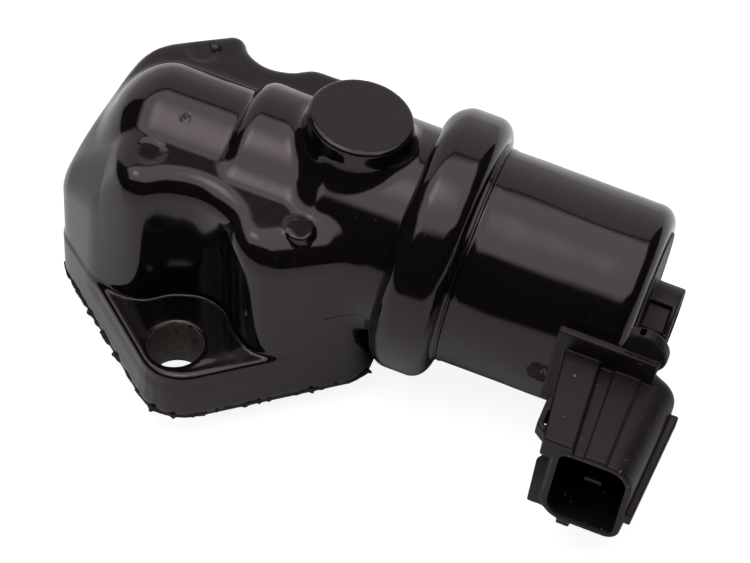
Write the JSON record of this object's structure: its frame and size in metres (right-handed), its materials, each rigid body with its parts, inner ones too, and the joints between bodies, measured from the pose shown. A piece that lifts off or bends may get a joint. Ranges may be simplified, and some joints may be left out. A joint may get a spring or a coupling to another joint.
{
  "type": "idle air control valve",
  "caption": "Cast two-port body with a crimped solenoid, a side connector and a flange for two bolts; a spring-closed poppet meters idle air.",
  "frame": {"origin": "midway between the two bolt holes on the mounting face, the gasket's underside", "axes": "+Z out of the mounting face through the body, +X the plan direction of the solenoid and the longest side, the connector points to -Y"},
  "size_m": [0.1079, 0.0748, 0.0497],
  "materials": {
    "casting_paint": "gloss black enamel over a die-cast aluminium body",
    "can_paint": "gloss black enamel over a drawn steel can",
    "connector_plastic": "matte black glass-filled nylon",
    "gasket_paper": "black fibre gasket with a torn edge",
    "terminal_metal": "tinned brass blades",
    "seal_rubber": "black nitrile rubber",
    "brass": "turned brass",
    "aluminium": "turned aluminium",
    "steel": "turned steel",
    "spring_steel": "drawn spring wire",
    "inner_plastic": "black nylon bobbin",
    "copper_wire": "enamelled copper winding",
    "filter_felt": "dark open-cell foam"
  },
  "bodies": {
    "housing": {"valve_body": "casting_paint", "mounting_gasket": "gasket_paper", "seat_ring": "brass", "return_spring": "spring_steel", "front_guide": "aluminium", "front_bush": "brass", "body_seal": "seal_rubber", "front_plate": "steel", "pole_piece": "steel", "guide_sleeve": "brass", "coil_bobbin": "inner_plastic", "coil_winding": "copper_wire", "rear_plate": "steel", "cap_seal": "seal_rubber", "solenoid_can": "can_paint", "connector_housing": "connector_plastic", "terminal_upper": "terminal_metal", "terminal_lower": "terminal_metal", "vent_filter": "filter_felt"},
    "plunger": {"poppet": "aluminium", "poppet_face": "seal_rubber", "rod_nut": "steel", "plunger_rod": "steel", "armature": "steel"}
  },
  "joints": [
    {"name": "plunger_slide", "type": "slide", "parent": "housing", "child": "plunger", "axis": [-0.9877, 0, 0.1564], "range_m": [0, 0.004], "stiffness_N_per_m": 800, "springref_m": -0.003, "deforming": ["return_spring"]}
  ]
}
